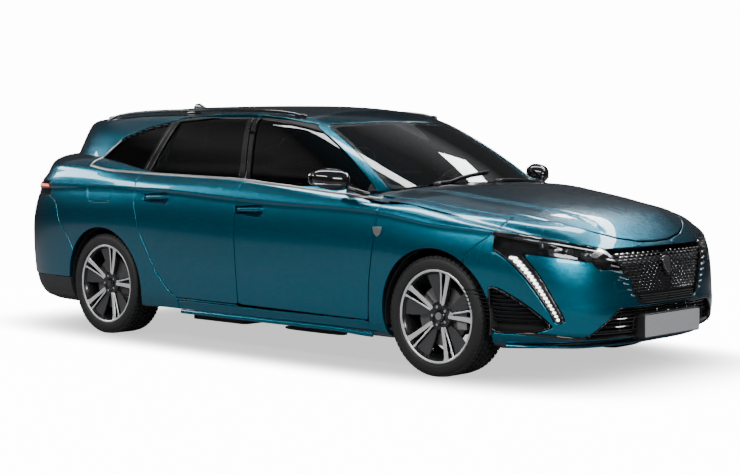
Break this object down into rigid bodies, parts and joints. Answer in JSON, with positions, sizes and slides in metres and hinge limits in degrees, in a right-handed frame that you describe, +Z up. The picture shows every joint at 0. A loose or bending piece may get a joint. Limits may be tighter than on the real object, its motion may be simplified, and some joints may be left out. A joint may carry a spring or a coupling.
{
  "type": "station wagon",
  "caption": "Estate car with opening side doors, tailgate, bonnet and fuel flap, steered front wheels and rolling wheels under a long roof with rails.",
  "frame": {"origin": "on the floor under the middle of the car's box", "axes": "+X forward, along the length, +Y to the left, +Z up"},
  "size_m": [4.6334, 2.04, 1.48],
  "materials": {
    "chassis_black": "satin",
    "body_paint": "metallic clearcoat",
    "gloss_black": "gloss",
    "cowl_plastic": "matte",
    "clear_glass": "clear",
    "tinted_glass": "dark tint",
    "lamp_lens": "gloss",
    "red_lamp": "gloss",
    "trim_plastic": "matte",
    "seat_cloth": "woven",
    "cast_metal": "cast",
    "exhaust_steel": "heat stained",
    "tyre_rubber": "matte",
    "alloy_wheel": "diamond cut"
  },
  "bodies": {
    "root": {"floor_pan": "chassis_black", "front_subframe": "chassis_black", "rear_axle": "chassis_black", "body_sides": "body_paint", "roof": "body_paint", "front_fenders": "body_paint", "front_bumper": "body_paint", "rear_bumper": "body_paint", "roof_trim": "gloss_black", "grilles": "gloss_black", "cowl": "cowl_plastic", "wheel_liners": "cowl_plastic", "windscreen": "clear_glass", "quarter_windows": "tinted_glass", "headlamps": "lamp_lens", "tail_lamps": "red_lamp", "dashboard": "trim_plastic", "front_seats": "seat_cloth", "rear_seat": "seat_cloth", "engine_block": "cast_metal", "exhaust": "exhaust_steel"},
    "front_door_left": {"front_door_left": "body_paint", "front_glass_left": "tinted_glass", "mirror_left": "gloss_black"},
    "front_door_right": {"front_door_right": "body_paint", "front_glass_right": "tinted_glass", "mirror_right": "gloss_black"},
    "rear_door_left": {"rear_door_left": "body_paint", "rear_glass_left": "tinted_glass"},
    "rear_door_right": {"rear_door_right": "body_paint", "rear_glass_right": "tinted_glass"},
    "tailgate": {"tailgate": "body_paint", "tailgate_glass": "tinted_glass", "tailgate_lamps": "red_lamp"},
    "bonnet": {"bonnet": "body_paint"},
    "fuel_flap": {"fuel_flap": "body_paint"},
    "knuckle_left": {"knuckle_left": "cast_metal"},
    "knuckle_right": {"knuckle_right": "cast_metal"},
    "steering_wheel": {"steering_wheel": "trim_plastic"},
    "wheel_front_left": {"wheel_front_left": "alloy_wheel", "tyre_front_left": "tyre_rubber"},
    "wheel_front_right": {"wheel_front_right": "alloy_wheel", "tyre_front_right": "tyre_rubber"},
    "wheel_rear_left": {"wheel_rear_left": "alloy_wheel", "tyre_rear_left": "tyre_rubber"},
    "wheel_rear_right": {"wheel_rear_right": "alloy_wheel", "tyre_rear_right": "tyre_rubber"}
  },
  "joints": [
    {"name": "steer_left", "type": "hinge", "parent": "root", "child": "knuckle_left", "pos_m": [1.452, 0.778, 0.3185], "axis": [0, 0, 1], "range_deg": [-34, 34]},
    {"name": "steer_right", "type": "hinge", "parent": "root", "child": "knuckle_right", "pos_m": [1.452, -0.778, 0.3185], "axis": [0, 0, 1], "range_deg": [-34, 34]},
    {"name": "steering_wheel_turn", "type": "hinge", "parent": "root", "child": "steering_wheel", "pos_m": [0.5, 0.37, 0.9], "axis": [-0.9063, 0, 0.4226], "range_deg": [-476.5, 476.5]},
    {"name": "front_wheel_left_spin", "type": "hinge", "parent": "knuckle_left", "child": "wheel_front_left", "pos_m": [1.452, 0.778, 0.3185], "axis": [0, 1, 0], "continuous": true},
    {"name": "rear_wheel_left_spin", "type": "hinge", "parent": "root", "child": "wheel_rear_left", "pos_m": [-1.28, 0.778, 0.3185], "axis": [0, 1, 0], "continuous": true},
    {"name": "front_door_left_swing", "type": "hinge", "parent": "root", "child": "front_door_left", "pos_m": [1.095, 0.914, 0.6], "axis": [0, 0, -1], "range_deg": [0, 66]},
    {"name": "rear_door_left_swing", "type": "hinge", "parent": "root", "child": "rear_door_left", "pos_m": [-0.006, 0.93, 0.6], "axis": [0, 0, -1], "range_deg": [0, 68]},
    {"name": "front_wheel_right_spin", "type": "hinge", "parent": "knuckle_right", "child": "wheel_front_right", "pos_m": [1.452, -0.778, 0.3185], "axis": [0, 1, 0], "continuous": true},
    {"name": "rear_wheel_right_spin", "type": "hinge", "parent": "root", "child": "wheel_rear_right", "pos_m": [-1.28, -0.778, 0.3185], "axis": [0, 1, 0], "continuous": true},
    {"name": "front_door_right_swing", "type": "hinge", "parent": "root", "child": "front_door_right", "pos_m": [1.095, -0.914, 0.6], "axis": [0, 0, 1], "range_deg": [0, 66]},
    {"name": "rear_door_right_swing", "type": "hinge", "parent": "root", "child": "rear_door_right", "pos_m": [-0.006, -0.93, 0.6], "axis": [0, 0, 1], "range_deg": [0, 68]},
    {"name": "tailgate_lift", "type": "hinge", "parent": "root", "child": "tailgate", "pos_m": [-1.832, 0, 1.4], "axis": [0, 1, 0], "range_deg": [0, 78]},
    {"name": "bonnet_lift", "type": "hinge", "parent": "root", "child": "bonnet", "pos_m": [0.958, 0, 0.992], "axis": [0, -1, 0], "range_deg": [0, 50]},
    {"name": "fuel_flap_swing", "type": "hinge", "parent": "root", "child": "fuel_flap", "pos_m": [-1.156, -0.925, 0.9], "axis": [0, 0, 1], "range_deg": [0, 80]}
  ],
  "couplings": [
    {"joint": "steer_right", "follows": "steer_left", "ratio": 1},
    {"joint": "steering_wheel_turn", "follows": "steer_left", "ratio": 14}
  ]
}
